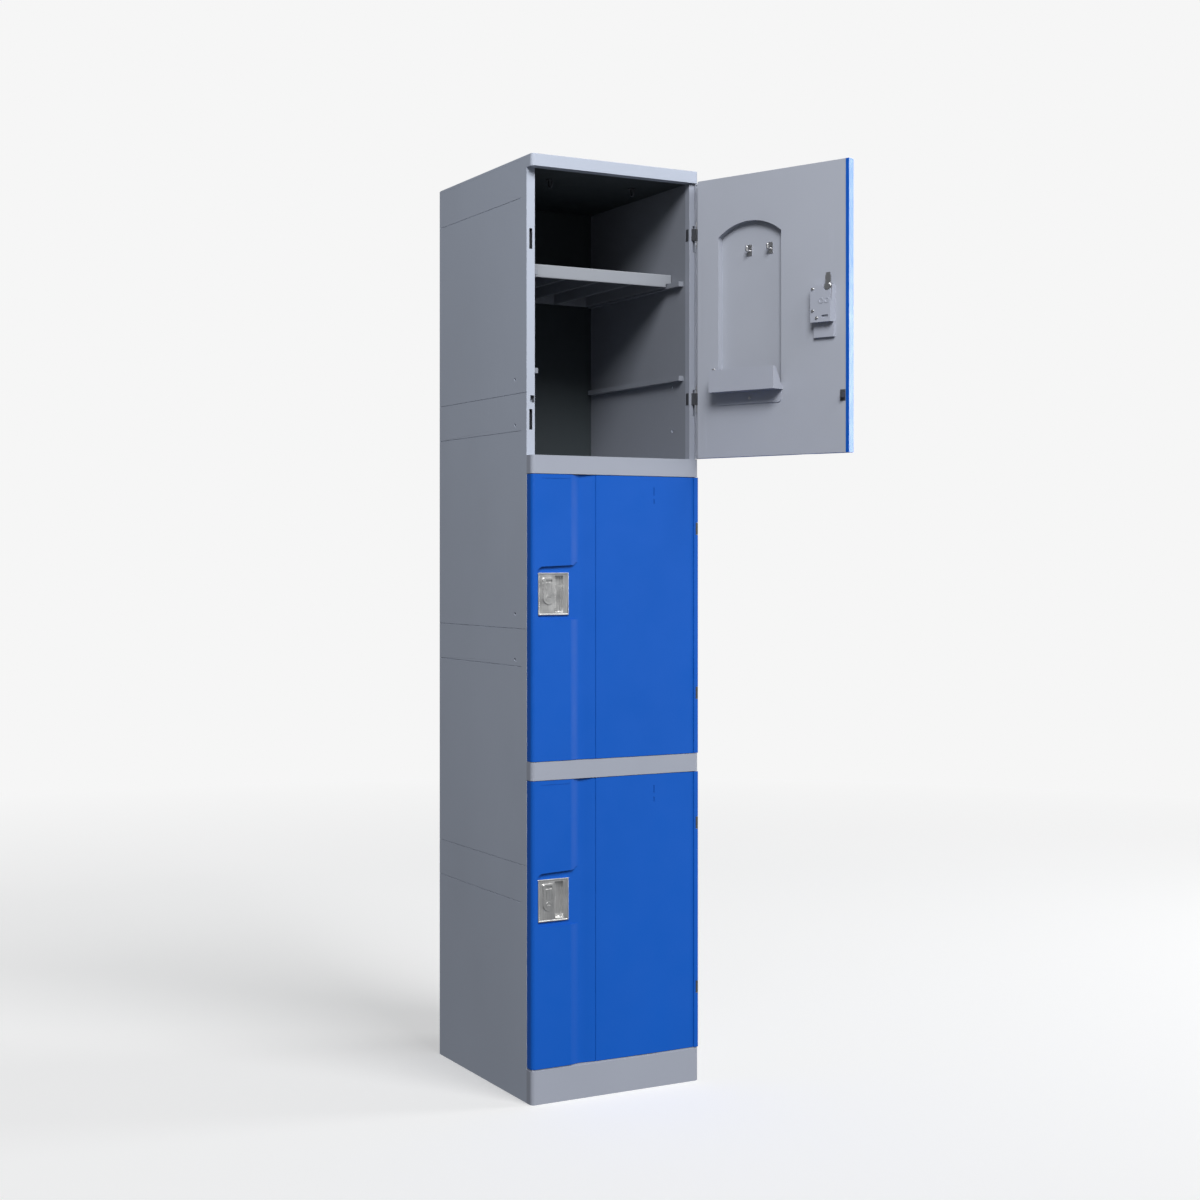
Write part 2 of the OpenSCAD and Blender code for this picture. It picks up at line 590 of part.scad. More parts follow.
module door_tray(k) at_door(k) {
  x0 = tray_x - tray_w / 2; x1 = tray_x + tray_w / 2; y1 = liner_y + tray_d;
  zt = tray_z + tray_h;
  difference() {
    union() {
      box([x0, liner_y, tray_z], [x1, y1, zt]);
      // screwed foot plate with rounded corners, and a screwed ear
      box([x0 + 2, liner_y, tray_z - tray_foot + 8], [x1 + 6, liner_y + 2, tray_z + 1]);
      box([x0 + 10, liner_y, tray_z - tray_foot], [x1 - 2, liner_y + 2, tray_z - tray_foot + 9]);
      for (x = [x0 + 10, x1 - 2]) rod([x, liner_y, tray_z - tray_foot + 8], 8, 2);
      box([x1 - 1, liner_y, zt - 14], [x1 + 14, liner_y + 2, zt + 8]);
    }
    box([x0 + 2.5, liner_y + 2.5, tray_z + 2.5], [x1 - 2.5, y1 - 2.5, zt + 30]);
    // the end near the free edge slopes down towards the door
    translate([x0 - 1, 0, 0]) rotate([90, 0, 90]) linear_extrude(12)
      polygon([[y1 - 7, zt + 1], [liner_y - 1, zt + 1],
               [liner_y - 1, tray_z + 10], [liner_y + 5, tray_z + 10]]);
    // niche left open behind the tray
    box([niche_x - niche_w / 2 + 1, liner_y - 1, tray_z + 10],
        [niche_x + niche_w / 2 - 1, liner_y + 3, zt + 1]);
    for (p = tray_screws) rod([p[0], liner_y - 1, p[1]], screw_r, 6);
  }
}
module door_hook(x, z) {
  yn = liner_y - niche_d;
  translate([x, yn, z]) {
    box([-5, 0, -11], [5, 1.6, 11]);
    translate([0, 1.5, -2]) rotate([-90, 0, 0]) cylinder(r = 2.6, h = 10);
    translate([0, 11.5, -2]) sphere(r = 2.6);
    translate([0, 11.5, -2]) cylinder(r = 2.6, h = 8);
    translate([0, 11.5, 6]) sphere(r = 2.6);
  }
}
module door_hooks(k) at_door(k) for (x = [dx + 189, dx + 239]) door_hook(x, hook_z);
module door_catch(k) at_door(k) {
  box([dx + 8, liner_y, -182], [dx + 20, liner_y + 0.4, -160]);
  box([dx + 9, liner_y, -176], [dx + 15, liner_y + 9, -166]);
}
module screw_head(x, y, z, l) translate([x, y, z]) rotate([-90, 0, 0]) {
  difference() {
    cylinder(r1 = 3.4, r2 = 2.4, h = 1.8);
    translate([-3, -0.5, 1]) cube([6, 1, 2]);
  }
  translate([0, 0, -l]) cylinder(r = screw_r, h = l + e);
}
module door_screws(k) at_door(k) {
  for (p = housing_screws) screw_head(p[0], face_y, p[1], 22);
  for (p = tray_screws) screw_head(p[0], liner_y + 2, p[1], 8);
}

// ---------------------------------------------------------------- pieces

module left_side_1() color(c_body) side_module(0, -1);
module left_side_2() color(c_body) side_module(1, -1);
module left_side_3() color(c_body) side_module(2, -1);
module left_side_4() color(c_body) side_module(3, -1);
module right_side_1() color(c_body) side_module(0, 1);
module right_side_2() color(c_body) side_module(1, 1);
module right_side_3() color(c_body) side_module(2, 1);
module right_side_4() color(c_body) side_module(3, 1);
module back_bottom() color(c_body) back_panel(0);
module back_middle() color(c_body) back_panel(1);
module back_top() color(c_body) back_panel(2);
module base_plinth() color(c_light) base_body();
module floor_panel() color(c_body) floor_body();
module divider_lower() color(c_light) difference() { divider(1); hook_holes(oz(1) - bar_h); }
module divider_upper() color(c_light) difference() { divider(2); hook_holes(oz(2) - bar_h); }
module top_cover() color(c_light) difference() { cover_body(); hook_holes(body_h - cover_h); }
module shelf_bottom() color(c_light) shelf(0);
module shelf_middle() color(c_light) shelf(1);
module shelf_top() color(c_light) shelf(2);
module hinge_post_bottom() color(c_light) hinge_post(0);
module hinge_post_middle() color(c_light) hinge_post(1);
module hinge_post_top() color(c_light) hinge_post(2);
module hinge_lugs() color(c_dark) for (k = [0:2]) for (h = [lug_up, lug_dn]) lug_body(k, h);
module hinge_pins() color(c_steel) for (k = [0:2]) for (h = [lug_up, lug_dn]) pin_body(k, h);
module coat_hooks() color(c_dark) for (k = [0:2]) for (s = [-1, 1]) coat_hook(s * hook_x, k);
module frame_screws() color(c_steel)
  for (k = [0:2]) for (h = screw_h) for (s = [-1, 1]) screw_back(s, oz(k) + h);
module door_skin_bottom() color(c_blue) door_skin(0);
module door_skin_middle() color(c_blue) door_skin(1);
module door_skin_top() color(c_blue) door_skin(2);
module door_liner_bottom() color(c_light) door_liner(0);
module door_liner_middle() color(c_light) door_liner(1);
module door_liner_top() color(c_light) door_liner(2);
module lock_plate_bottom() color(c_steel) lock_plate(0);
module lock_plate_middle() color(c_steel) lock_plate(1);
module lock_plate_top() color(c_steel) lock_plate(2);
module lock_housing_bottom() color(c_light) lock_housing(0);
module lock_housing_middle() color(c_light) lock_housing(1);
module lock_housing_top() color(c_light) lock_housing(2);
module tray_bottom() color(c_light) door_tray(0);
module tray_middle() color(c_light) door_tray(1);
module tray_top() color(c_light) door_tray(2);
module door_hooks_bottom() color(c_steel) door_hooks(0);
module door_hooks_middle() color(c_steel) door_hooks(1);
module door_hooks_top() color(c_steel) door_hooks(2);
module door_catch_bottom() color(c_dark) door_catch(0);
module door_catch_middle() color(c_dark) door_catch(1);
module door_catch_top() color(c_dark) door_catch(2);
module door_screws_bottom() color(c_steel) door_screws(0);
module door_screws_middle() color(c_steel) door_screws(1);
module door_screws_top() color(c_steel) door_screws(2);
module lock_lever_bottom() color(c_steel) lock_lever(0);
module lock_lever_middle() color(c_steel) lock_lever(1);
module lock_lever_top() color(c_steel) lock_lever(2);
module lock_bar_bottom() color(c_steel) lock_bar(0);
module lock_bar_middle() color(c_steel) lock_bar(1);
module lock_bar_top() color(c_steel) lock_bar(2);

left_side_1();
left_side_2();
left_side_3();
left_side_4();
right_side_1();
right_side_2();
right_side_3();
right_side_4();
back_bottom();
back_middle();
back_top();
base_plinth();
floor_panel();
divider_lower();
divider_upper();
top_cover();
shelf_bottom();
shelf_middle();
shelf_top();
hinge_post_bottom();
hinge_post_middle();
hinge_post_top();
hinge_lugs();
hinge_pins();
coat_hooks();
frame_screws();
door_skin_bottom();
door_skin_middle();
door_skin_top();
door_liner_bottom();
door_liner_middle();
door_liner_top();
lock_plate_bottom();
lock_plate_middle();
lock_plate_top();
lock_housing_bottom();
lock_housing_middle();
lock_housing_top();
tray_bottom();
tray_middle();
tray_top();
door_hooks_bottom();
door_hooks_middle();
door_hooks_top();
door_catch_bottom();
door_catch_middle();
door_catch_top();
door_screws_bottom();
door_screws_middle();
door_screws_top();
lock_lever_bottom();
lock_lever_middle();
lock_lever_top();
lock_bar_bottom();
lock_bar_middle();
lock_bar_top();
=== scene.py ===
import json
import math

import bpy
from mathutils import Matrix, Vector

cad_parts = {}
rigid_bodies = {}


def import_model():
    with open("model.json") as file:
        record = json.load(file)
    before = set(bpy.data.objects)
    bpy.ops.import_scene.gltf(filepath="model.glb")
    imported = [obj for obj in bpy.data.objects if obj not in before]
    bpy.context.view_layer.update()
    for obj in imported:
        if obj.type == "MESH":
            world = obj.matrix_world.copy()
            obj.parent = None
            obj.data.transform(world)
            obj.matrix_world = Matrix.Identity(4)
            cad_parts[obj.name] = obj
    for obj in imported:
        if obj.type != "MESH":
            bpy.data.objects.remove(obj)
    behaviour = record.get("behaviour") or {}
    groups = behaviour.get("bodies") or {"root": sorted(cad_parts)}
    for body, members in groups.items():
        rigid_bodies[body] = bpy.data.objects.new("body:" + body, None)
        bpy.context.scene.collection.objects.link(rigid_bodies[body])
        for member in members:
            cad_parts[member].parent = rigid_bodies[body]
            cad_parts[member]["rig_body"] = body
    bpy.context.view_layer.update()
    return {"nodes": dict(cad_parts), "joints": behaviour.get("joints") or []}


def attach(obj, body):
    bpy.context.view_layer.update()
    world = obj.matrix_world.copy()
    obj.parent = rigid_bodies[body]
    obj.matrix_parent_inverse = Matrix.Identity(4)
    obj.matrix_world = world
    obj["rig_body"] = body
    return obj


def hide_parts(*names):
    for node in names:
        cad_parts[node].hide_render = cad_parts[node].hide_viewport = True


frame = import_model()

bl_info = {
    "name": "Locker cabinet",
    "version": (1, 0, 0),
    "blender": (4, 5, 0),
    "location": "3D View > Sidebar > Locker",
    "description": "Builds the visible pieces of a three-door locker cabinet round its fixed frame",
    "category": "Object",
}

TIERS = ("bottom", "middle", "top")
SIDES = ("left", "right")
MODULES = (1, 2, 3, 4)


# ------------------------------------------------------------------ settings

def tint(label, pieces, base):
    return bpy.props.FloatVectorProperty(
        name=label, description=pieces, subtype="COLOR", size=3, min=0, max=1, default=base)


def length(label, meaning, least, most, usual):
    return bpy.props.FloatProperty(
        name=label, description=meaning, unit="LENGTH", min=least, max=most, default=usual)


class LockerColours(bpy.types.PropertyGroup):
    panel_grey: tint("Panel grey", "Sides, floor and top cover", (0.350, 0.385, 0.460))
    bar_grey: tint("Bar grey", "Plinth, bars and hinge posts", (0.270, 0.290, 0.345))
    # painted shade: a near black given to the back panels, inside and out, in place of the dark inside the
    # compartments
    back_grey: tint("Back grey", "Back panels and the top ceiling", (0.034, 0.042, 0.047))
    # painted shade: the inner faces of the sides are one moulding with the outer, given a darker grey for the
    # shade inside
    inner_grey: tint("Inner grey", "Inner faces of the sides", (0.195, 0.210, 0.245))
    shelf_grey: tint("Shelf grey", "Loose shelves", (0.235, 0.250, 0.280))
    liner_grey: tint("Liner grey", "Inner faces of the doors", (0.335, 0.355, 0.410))
    fitting_grey: tint("Fitting grey", "Trays and lock housings", (0.33, 0.35, 0.41))
    door_blue: tint("Door blue", "Outer shells of the doors", (0.0015, 0.076, 0.395))
    satin_metal: tint("Satin metal", "Lock plates and levers", (0.74, 0.74, 0.735))
    plain_steel: tint("Plain steel", "Pins, screws, small hooks and lock bars", (0.55, 0.55, 0.56))
    # dark plastic is the real colour of knuckles, hooks and catches, and painted shade inside the slots of the
    # left side
    dark_plastic: tint("Dark plastic", "Knuckles, coat hooks and door catches", (0.045, 0.048, 0.056))
    floor: tint("Floor", "Floor and backdrop", (0.9216, 0.9216, 0.9216))


class LockerSizes(bpy.types.PropertyGroup):
    panel_edge: length("Panel edge", "Rounding of panel edges", 0.0002, 0.004, 0.0010)
    bar_edge: length("Bar edge", "Rounding of bar and cover edges", 0.0002, 0.004, 0.0016)
    door_edge: length("Door edge", "Rounding of door edges", 0.0002, 0.003, 0.0011)
    fitting_edge: length("Fitting edge", "Rounding of small fittings", 0.0001, 0.002, 0.0007)
    metal_edge: length("Metal edge", "Rounding of metal edges", 0.0001, 0.001, 0.0004)
    grain_size: length("Grain size", "Width of one bump of the grain", 0.0003, 0.003, 0.0009)


def colour(name):
    return tuple(getattr(bpy.context.scene.locker_colours, name)) + (1.0,)


def size(name):
    return getattr(bpy.context.scene.locker_sizes, name)


# ------------------------------------------------------------------ materials

# each moulded plastic: mottling is how far its tone strays from its colour, scuffs how
# strongly worn streaks show, grain and gloss the strengths of its relief and of its shine
PLASTICS = {
    "panel_grey": dict(rough=0.52, grain=0.40, mottling=0.045, scuffs=0.30, gloss=0.40),
    "back_grey": dict(rough=0.60, grain=0.40, mottling=0.05, scuffs=0.15, gloss=0.25),
    "inner_grey": dict(rough=0.55, grain=0.40, mottling=0.045, scuffs=0.20, gloss=0.35),
    "bar_grey": dict(rough=0.50, grain=0.30, mottling=0.035, scuffs=0.25, gloss=0.40),
    "shelf_grey": dict(rough=0.50, grain=0.30, mottling=0.04, scuffs=0.45, gloss=0.40),
    "liner_grey": dict(rough=0.48, grain=0.30, mottling=0.04, scuffs=0.20, gloss=0.45),
    "fitting_grey": dict(rough=0.42, grain=0.18, mottling=0.03, scuffs=0.20, gloss=0.5),
    "door_blue": dict(rough=0.52, grain=0.32, mottling=0.05, scuffs=0.10, gloss=0.22),
    "dark_plastic": dict(rough=0.45, grain=0.2, mottling=0.08, scuffs=0.2, gloss=0.5),
}
# each metal: its colour's name, its roughness and how its brushed lines are stretched
METALS = {
    "satin_metal": ("satin_metal", 0.36, (1.0, 1.0, 0.03)),
    "steel": ("plain_steel", 0.30, (1.0, 1.0, 0.3)),
}
MADE = {}

PAPER_WHITE = 0.80      # how much light the floor takes, as a share of its colour
PAPER_FLECK = 0.005
PAPER_GLOW = (1.0, 0.465)     # own glow far out and beside the cabinet
PAPER_FADE = (2.6, 5.2)       # distances between which the floor turns to pure glow


def new_material(name):
    mat = bpy.data.materials.new(name)
    mat.use_nodes = True
    nt = mat.node_tree
    nt.nodes.clear()
    out = nt.nodes.new("ShaderNodeOutputMaterial")
    shader = nt.nodes.new("ShaderNodeBsdfPrincipled")
    nt.links.new(shader.outputs["BSDF"], out.inputs["Surface"])
    where = nt.nodes.new("ShaderNodeTexCoord").outputs["Object"]
    return mat, nt, shader, where


def noise(nt, where, scale, detail, rough, stretch=(1, 1, 1)):
    mapping = nt.nodes.new("ShaderNodeMapping")
    mapping.inputs["Scale"].default_value = stretch
    nt.links.new(where, mapping.inputs["Vector"])
    tex = nt.nodes.new("ShaderNodeTexNoise")
    tex.inputs["Scale"].default_value = scale
    tex.inputs["Detail"].default_value = detail
    tex.inputs["Roughness"].default_value = rough
    nt.links.new(mapping.outputs["Vector"], tex.inputs["Vector"])
    return tex.outputs["Fac"]


def spread(nt, value, span, result=(0, 1)):
    """Maps one span of a value onto another, clamped at both ends."""
    node = nt.nodes.new("ShaderNodeMapRange")
    for socket, number in zip(("From Min", "From Max", "To Min", "To Max"), span + result):
        node.inputs[socket].default_value = number
    nt.links.new(value, node.inputs["Value"])
    return node.outputs["Result"]


def mix_colour(nt, factor, a, b):
    node = nt.nodes.new("ShaderNodeMix")
    node.data_type = "RGBA"
    for value, socket in ((factor, node.inputs[0]), (a, node.inputs[6]), (b, node.inputs[7])):
        if hasattr(value, "is_output"):
            nt.links.new(value, socket)
        else:
            socket.default_value = value
    return node.outputs[2]


def shade(base, share):
    return tuple(min(channel * share, 1) for channel in base[:3]) + (1,)


def bump(nt, shader, heights):
    """Stacks bumps, each given as a height, its strength and its depth in metres."""
    last = None
    for value, strength, distance in heights:
        node = nt.nodes.new("ShaderNodeBump")
        node.inputs["Strength"].default_value = strength
        node.inputs["Distance"].default_value = distance
        nt.links.new(value, node.inputs["Height"])
        if last is not None:
            nt.links.new(last, node.inputs["Normal"])
        last = node.outputs["Normal"]
    nt.links.new(last, shader.inputs["Normal"])


def moulded_plastic(name, base, rough, grain, mottling, scuffs, gloss):
    """Moulded ABS: fine grained skin, slow flow mottling and faint upright scuffs."""
    mat, nt, shader, where = new_material(name)
    slow = noise(nt, where, scale=2.2, detail=3.0, rough=0.55, stretch=(1.0, 1.0, 0.55))
    cloud = noise(nt, where, scale=14.0, detail=4.0, rough=0.6)
    tone = mix_colour(nt, spread(nt, slow, (0.3, 0.7)), shade(base, 1 - mottling), shade(base, 1 + mottling))
    tone = mix_colour(nt, spread(nt, cloud, (0.35, 0.75), (0, 0.35)), tone, shade(base, 1 + mottling * 0.9))
    streak = noise(nt, where, scale=90.0, detail=3.0, rough=0.7, stretch=(1.0, 1.0, 0.035))
    patch = noise(nt, where, scale=5.5, detail=2.0, rough=0.5)
    worn = nt.nodes.new("ShaderNodeMath")
    worn.operation = "MULTIPLY"
    nt.links.new(spread(nt, streak, (0.62, 0.74)), worn.inputs[0])
    nt.links.new(spread(nt, patch, (0.52, 0.72), (0, scuffs)), worn.inputs[1])
    tone = mix_colour(nt, worn.outputs[0], tone, shade(base, 1.25))
    nt.links.new(tone, shader.inputs["Base Color"])
    nt.links.new(spread(nt, cloud, (0.3, 0.75), (rough - 0.05, rough + 0.07)), shader.inputs["Roughness"])
    shader.inputs["Specular IOR Level"].default_value = gloss
    cells = nt.nodes.new("ShaderNodeTexVoronoi")
    cells.inputs["Scale"].default_value = 1.0 / size("grain_size")
    nt.links.new(where, cells.inputs["Vector"])
    fine = noise(nt, where, scale=0.7 / size("grain_size"), detail=2.0, rough=0.6)
    sag = noise(nt, where, scale=7.0, detail=1.0, rough=0.4)
    bump(nt, shader, [(sag, 0.12, 0.0012), (cells.outputs["Distance"], grain, 0.00010), (fine, grain, 0.00008)])
    return mat


def brushed_metal(name, base, rough, along):
    """Brushed sheet metal with fine lines, fingerprints and a little tarnish."""
    mat, nt, shader, where = new_material(name)
    lines = noise(nt, where, scale=1400.0, detail=2.0, rough=0.6, stretch=along)
    marks = noise(nt, where, scale=38.0, detail=4.0, rough=0.65)
    tone = mix_colour(nt, spread(nt, lines, (0.35, 0.65)), shade(base, 0.90), shade(base, 1.08))
    tone = mix_colour(nt, spread(nt, marks, (0.5, 0.8), (0, 0.35)), tone, shade(base, 0.78))
    nt.links.new(tone, shader.inputs["Base Color"])
    shader.inputs["Metallic"].default_value = 1.0
    nt.links.new(spread(nt, marks, (0.3, 0.7), (rough - 0.05, rough + 0.10)), shader.inputs["Roughness"])
    bump(nt, shader, [(lines, 0.25, 0.00003), (marks, 0.08, 0.0001)])
    return mat


def studio_paper(name, base):
    """Pale studio paper: it takes soft shadows near the cabinet and glows evenly further out."""
    mat, nt, shader, where = new_material(name)
    fleck = noise(nt, where, scale=60.0, detail=3.0, rough=0.6)
    far = nt.nodes.new("ShaderNodeVectorMath")
    far.operation = "LENGTH"
    nt.links.new(where, far.inputs[0])
    near_share = spread(nt, far.outputs["Value"], PAPER_FADE, (1, 0))
    dim, bright = (shade(base, PAPER_WHITE + change) for change in (-PAPER_FLECK, PAPER_FLECK))
    paper = mix_colour(nt, spread(nt, fleck, (0.3, 0.7)), dim, bright)
    nt.links.new(mix_colour(nt, near_share, (0, 0, 0, 1), paper), shader.inputs["Base Color"])
    nt.links.new(spread(nt, near_share, (0, 1), PAPER_GLOW), shader.inputs["Emission Strength"])
    shader.inputs["Roughness"].default_value = 0.95
    shader.inputs["Specular IOR Level"].default_value = 0.0
    shader.inputs["Emission Color"].default_value = base
    return mat


def material(finish):
    if finish not in MADE:
        if finish in METALS:
            name, rough, along = METALS[finish]
            MADE[finish] = brushed_metal(name, colour(name), rough, along)
        else:
            name = finish if finish.endswith("_plastic") else finish + "_plastic"
            MADE[finish] = moulded_plastic(name, colour(finish), **PLASTICS[finish])
    return MADE[finish]


# ------------------------------------------------------------------ modelling helpers

MERGE = 0.000004        # vertices closer than this are one
FLAT = 0.07             # faces that meet within this many degrees are one flat face


def deselect():
    if bpy.context.object and bpy.context.object.mode != "OBJECT":
        bpy.ops.object.mode_set(mode="OBJECT")
    bpy.ops.object.select_all(action="DESELECT")


def activate(piece):
    deselect()
    piece.select_set(True)
    bpy.context.view_layer.objects.active = piece


def apply_modifier(piece, kind, name, **settings):
    activate(piece)
    mod = piece.modifiers.new(name, kind)
    for key, value in settings.items():
        setattr(mod, key, value)
    bpy.ops.object.modifier_apply(modifier=mod.name)


def start_from(node, name):
    """A merged copy of a frame node, its flat faces whole again, ready to be worked on."""
    deselect()
    source = frame["nodes"][node]
    piece = source.copy()
    piece.data = source.data.copy()
    for key in list(piece.keys()):
        del piece[key]
    piece.parent = None
    piece.matrix_world = Matrix.Identity(4)
    bpy.context.scene.collection.objects.link(piece)
    piece.name = name
    piece.data.name = name
    piece.data.materials.clear()
    activate(piece)
    if piece.data.has_custom_normals:
        bpy.ops.mesh.customdata_custom_splitnormals_clear()
    bpy.ops.object.mode_set(mode="EDIT")
    bpy.ops.mesh.select_all(action="SELECT")
    bpy.ops.mesh.remove_doubles(threshold=MERGE)
    bpy.ops.mesh.dissolve_limited(angle_limit=math.radians(FLAT))
    bpy.ops.object.mode_set(mode="OBJECT")
    apply_modifier(piece, "TRIANGULATE", "faces with holes cut up", min_vertices=5)
    return piece


def round_edges(piece, width, segments, angle):
    """Bevels the sharp edges and keeps the result inside the box that the piece had before."""
    places = [vertex.co.copy() for vertex in piece.data.vertices]
    low = [min(place[axis] for place in places) for axis in range(3)]
    high = [max(place[axis] for place in places) for axis in range(3)]
    apply_modifier(piece, "BEVEL", "rounded edges", width=width, segments=segments,
                   limit_method="ANGLE", angle_limit=math.radians(angle),
                   use_clamp_overlap=True, harden_normals=False, miter_outer="MITER_ARC")
    for vertex in piece.data.vertices:
        for axis in range(3):
            vertex.co[axis] = min(max(vertex.co[axis], low[axis]), high[axis])


def smooth(piece, angle=38):
    activate(piece)
    bpy.ops.object.shade_smooth_by_angle(angle=math.radians(angle))
    apply_modifier(piece, "TRIANGULATE", "corner faces cut up", min_vertices=5)
    apply_modifier(piece, "WEIGHTED_NORMAL", "flat faces stay flat", keep_sharp=True, weight=50)


def seat(piece, finish, node):
    """Gives a finished piece its material and body, in place of the node it stands for."""
    piece.data.materials.clear()
    piece.data.materials.append(material(finish))
    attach(piece, frame["nodes"][node]["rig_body"])
    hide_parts(node)


def worked_copy(node, name, finish, edge, segments=3, angle=32):
    """A node's copy with its edges rounded to one of the edge sizes, finished and in its seat."""
    piece = start_from(node, name)
    round_edges(piece, size(edge), segments, angle)
    smooth(piece)
    seat(piece, finish, node)
    return piece


def paint_where(piece, finish, chosen):
    """Gives the faces that pass a test of centre and normal a second finish."""
    piece.data.materials.append(material(finish))
    turn = piece.matrix_world.to_3x3()
    for face in piece.data.polygons:
        if chosen(piece.matrix_world @ face.center, turn @ face.normal):
            face.material_index = len(piece.data.materials) - 1


def finish_node(node, finish):
    materials = frame["nodes"][node].data.materials
    materials.clear()
    materials.append(material(finish))


# ------------------------------------------------------------------ which faces take a second finish

HINGES = {joint["child"]: joint for joint in frame["joints"]}
OPEN_ANGLE = {tier: -HINGES["door_" + tier]["range_deg"][0] for tier in TIERS}
INNER_X = 0.172                 # inner face of the sides
SIDE_FRONT = -0.198             # front edge of the sides
SLOT_X = (-0.1845, -0.1772)     # walls of the slots in the left side's front edge
SLOT_Y = (SIDE_FRONT + 0.0004, SIDE_FRONT + 0.0104)     # mouth and bottom of those slots
KNUCKLE = 0.0032                # radius of the hinge knuckles


def in_front_slot(at, normal):
    """True inside the slots in the front edge of the left side, whose faces take dark plastic as painted shade.
    """
    return SLOT_X[0] < at.x < SLOT_X[1] and SLOT_Y[0] < at.y < SLOT_Y[1]


def on_inner_side(at, normal):
    """True on the faces of a side that look into the compartments; these take a darker grey as painted shade.
    """
    return abs(at.x) < INNER_X + 0.001 and at.y > SIDE_FRONT + 0.002


def is_ceiling(at, normal):
    """True on the underside of a deck, behind its front bar; these faces take painted shade."""
    return normal.z < -0.5 and at.y > SIDE_FRONT - 0.002


def near_hinge(at, normal, tier):
    """True on the hinge edge of a door, which is moulded in grey, but not on its front."""
    turn = math.radians(OPEN_ANGLE[tier])
    pin = HINGES["door_" + tier]["pos_m"]
    along = (at.x - pin[0]) * math.cos(turn) + (at.y - pin[1]) * math.sin(turn)
    front = -normal.x * math.sin(turn) + normal.y * math.cos(turn)
    return along > -KNUCKLE - 0.001 and front > -0.2


# ------------------------------------------------------------------ operators

class LOCKER_OT_sides(bpy.types.Operator):
    """Stacked hollow modules of both sides"""
    bl_idname = "locker.sides"
    bl_label = "Sides"

    def execute(self, context):
        for side in SIDES:
            for module in MODULES:
                node = "%s_side_%d" % (side, module)
                name = "%s_side_module_%d" % (side, module)
                piece = worked_copy(node, name, "panel_grey", "panel_edge")
                # painted shade: the inside of the slots takes dark plastic for the dark in the recesses
                paint_where(piece, "dark_plastic", in_front_slot)
                # painted shade: the faces inside the compartments take a darker grey
                paint_where(piece, "inner_grey", on_inner_side)
        return {"FINISHED"}


class LOCKER_OT_backs(bpy.types.Operator):
    """Ribbed back panels"""
    bl_idname = "locker.backs"
    bl_label = "Backs"

    def execute(self, context):
        for tier in TIERS:
            # painted shade: the back panels take the near black that stands for the dark inside the
            # compartments
            worked_copy("back_" + tier, "back_panel_" + tier, "back_grey", "panel_edge", 2)
        return {"FINISHED"}


class LOCKER_OT_base(bpy.types.Operator):
    """Plinth frame and floor panel"""
    bl_idname = "locker.base"
    bl_label = "Base"

    def execute(self, context):
        worked_copy("base_plinth", "plinth_frame", "bar_grey", "bar_edge")
        worked_copy("floor_panel", "floor_board", "panel_grey", "panel_edge", 2)
        return {"FINISHED"}


class LOCKER_OT_dividers(bpy.types.Operator):
    """Bars and decks between the compartments"""
    bl_idname = "locker.dividers"
    bl_label = "Dividers"

    def execute(self, context):
        for place in ("lower", "upper"):
            worked_copy("divider_" + place, "divider_deck_" + place, "bar_grey", "bar_edge")
        return {"FINISHED"}


class LOCKER_OT_cover(bpy.types.Operator):
    """Top cover"""
    bl_idname = "locker.cover"
    bl_label = "Top cover"

    def execute(self, context):
        piece = worked_copy("top_cover", "cover_cap", "panel_grey", "bar_edge")
        # painted shade: the underside of the cover takes the near black of the shade under the ceiling
        paint_where(piece, "back_grey", is_ceiling)
        return {"FINISHED"}


class LOCKER_OT_shelves(bpy.types.Operator):
    """Loose ribbed shelves"""
    bl_idname = "locker.shelves"
    bl_label = "Shelves"

    def execute(self, context):
        for tier in TIERS:
            worked_copy("shelf_" + tier, "shelf_board_" + tier, "shelf_grey", "bar_edge")
        return {"FINISHED"}


class LOCKER_OT_hinges(bpy.types.Operator):
    """Hinge posts, fixed knuckles and pins"""
    bl_idname = "locker.hinges"
    bl_label = "Hinges"

    def execute(self, context):
        for tier in TIERS:
            worked_copy("hinge_post_" + tier, "hinge_stile_" + tier, "bar_grey", "fitting_edge", 2)
        worked_copy("hinge_lugs", "hinge_knuckles", "dark_plastic", "metal_edge", 2)
        finish_node("hinge_pins", "steel")
        return {"FINISHED"}


class LOCKER_OT_carcass_fittings(bpy.types.Operator):
    """Coat hooks and the sunk screws of the back"""
    bl_idname = "locker.carcass_fittings"
    bl_label = "Coat hooks and screws"

    def execute(self, context):
        worked_copy("coat_hooks", "ceiling_hooks", "dark_plastic", "metal_edge", 2)
        finish_node("frame_screws", "steel")
        return {"FINISHED"}


class LOCKER_OT_door_shells(bpy.types.Operator):
    """Outer blue shells of the doors"""
    bl_idname = "locker.door_shells"
    bl_label = "Door shells"

    def execute(self, context):
        for tier in TIERS:
            name = "door_shell_" + tier
            piece = worked_copy("door_skin_" + tier, name, "door_blue", "door_edge", angle=28)
            paint_where(piece, "liner_grey", lambda at, normal: near_hinge(at, normal, tier))
        return {"FINISHED"}


class LOCKER_OT_door_liners(bpy.types.Operator):
    """Inner grey pans of the doors with their niches"""
    bl_idname = "locker.door_liners"
    bl_label = "Door liners"

    def execute(self, context):
        for tier in TIERS:
            worked_copy("door_liner_" + tier, "door_pan_" + tier, "liner_grey", "door_edge", 4)
        return {"FINISHED"}


class LOCKER_OT_door_fittings(bpy.types.Operator):
    """Pocket trays, small hooks, catches and screws on the doors"""
    bl_idname = "locker.door_fittings"
    bl_label = "Door fittings"

    def execute(self, context):
        for tier in TIERS:
            worked_copy("tray_" + tier, "pocket_tray_" + tier, "fitting_grey", "door_edge")
            worked_copy("door_hooks_" + tier, "niche_hooks_" + tier, "steel", "metal_edge", 2)
            worked_copy("door_catch_" + tier, "catch_tongue_" + tier, "dark_plastic", "metal_edge", 2)
            finish_node("door_screws_" + tier, "steel")
        return {"FINISHED"}


